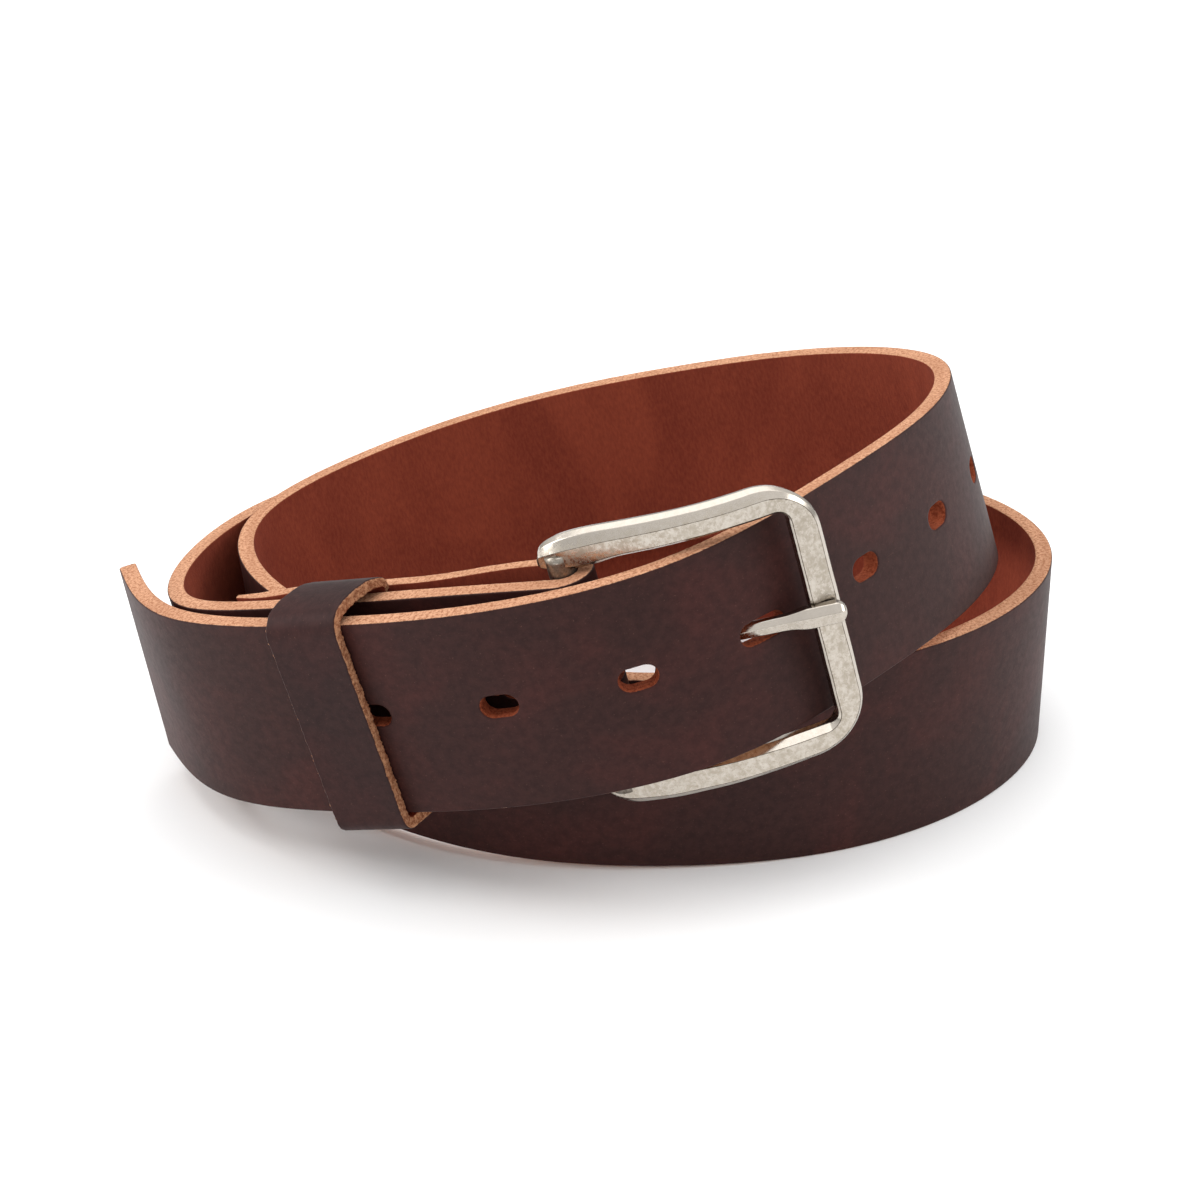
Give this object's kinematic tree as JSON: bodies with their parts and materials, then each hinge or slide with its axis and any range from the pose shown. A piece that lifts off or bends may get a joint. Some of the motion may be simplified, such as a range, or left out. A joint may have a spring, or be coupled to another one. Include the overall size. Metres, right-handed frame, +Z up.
{
  "type": "leather belt",
  "caption": "Dark brown leather belt with a heel-bar buckle, prong and keeper, buckled and coiled twice so that it stands on its lower edge.",
  "frame": {"origin": "on the floor, under the middle of the coiled belt's bounding box", "axes": "+Z up, +X along the coil to the right of someone who faces the buckle, -Y out of the buckle's front"},
  "size_m": [0.1855, 0.133, 0.0845],
  "materials": {
    "strap_leather": "waxed, semi-matt grain side, with a napped red-brown flesh side and raw tan edges",
    "keeper_leather": "waxed grain side, rough raw tan edges",
    "staple_steel": "plain drawn wire",
    "buckle_nickel": "cast nickel, tarnished and mottled, polished on its rounded ridges",
    "prong_nickel": "cast nickel, worn bright along the top",
    "screw_brass": "antique brass"
  },
  "bodies": {
    "belt": {"strap": "strap_leather", "front_post": "screw_brass", "front_screw": "screw_brass", "rear_post": "screw_brass", "rear_screw": "screw_brass"},
    "loop": {"keeper": "keeper_leather", "keeper_staple": "staple_steel"},
    "frame": {"buckle_frame": "buckle_nickel"},
    "tongue": {"prong": "prong_nickel"}
  },
  "joints": [
    {"name": "frame_hinge", "type": "hinge", "parent": "belt", "child": "frame", "pos_m": [-0.00011, -0.05537, 0.04872], "axis": [0.2568, 0.0008, -0.9665], "range_deg": [-0.4, 1.5]},
    {"name": "prong_hinge", "type": "hinge", "parent": "frame", "child": "tongue", "pos_m": [-0.00011, -0.05537, 0.04872], "axis": [0.2568, 0.0008, -0.9665], "range_deg": [0, 1.5]},
    {"name": "keeper_slide", "type": "slide", "parent": "belt", "child": "loop", "axis": [0.8888, -0.3799, 0.2564], "range_m": [-0.003, 0.003]}
  ]
}
